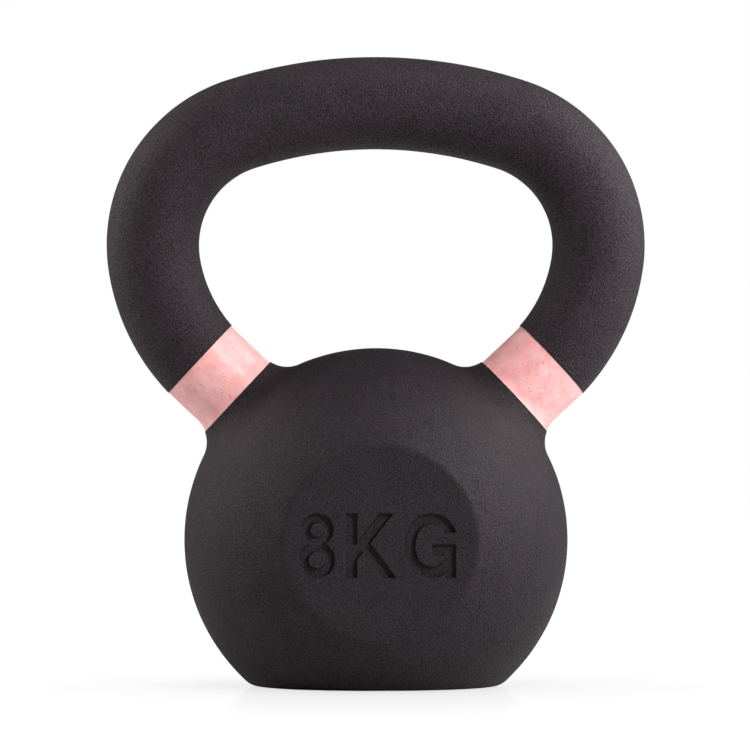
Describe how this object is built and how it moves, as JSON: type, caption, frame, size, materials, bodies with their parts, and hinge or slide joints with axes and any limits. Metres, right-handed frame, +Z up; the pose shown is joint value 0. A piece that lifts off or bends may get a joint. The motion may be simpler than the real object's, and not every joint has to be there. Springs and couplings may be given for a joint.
{
  "type": "kettlebell",
  "caption": "One-piece cast-iron kettlebell: flat-based ball with a flat front and back, a round loop handle, a textured black coat and a painted colour band on each horn.",
  "frame": {"origin": "centre of the flat base, on the ground", "axes": "+Z up through the handle, +X to the viewer's right when facing the weight mark, which looks along -Y"},
  "size_m": [0.1732, 0.1068, 0.2021],
  "materials": {
    "iron_casting": "raw grey iron casting, shot-blasted, covered by the coats",
    "bell_coat": "fine sand-textured black powder coat",
    "handle_coat": "fine sand-textured black powder coat",
    "left_band": "satin pink paint over the casting's skin",
    "right_band": "satin pink paint over the casting's skin"
  },
  "bodies": {
    "root": {"iron_casting": "iron_casting", "bell_coat": "bell_coat", "handle_coat": "handle_coat", "left_band": "left_band", "right_band": "right_band"}
  },
  "joints": []
}
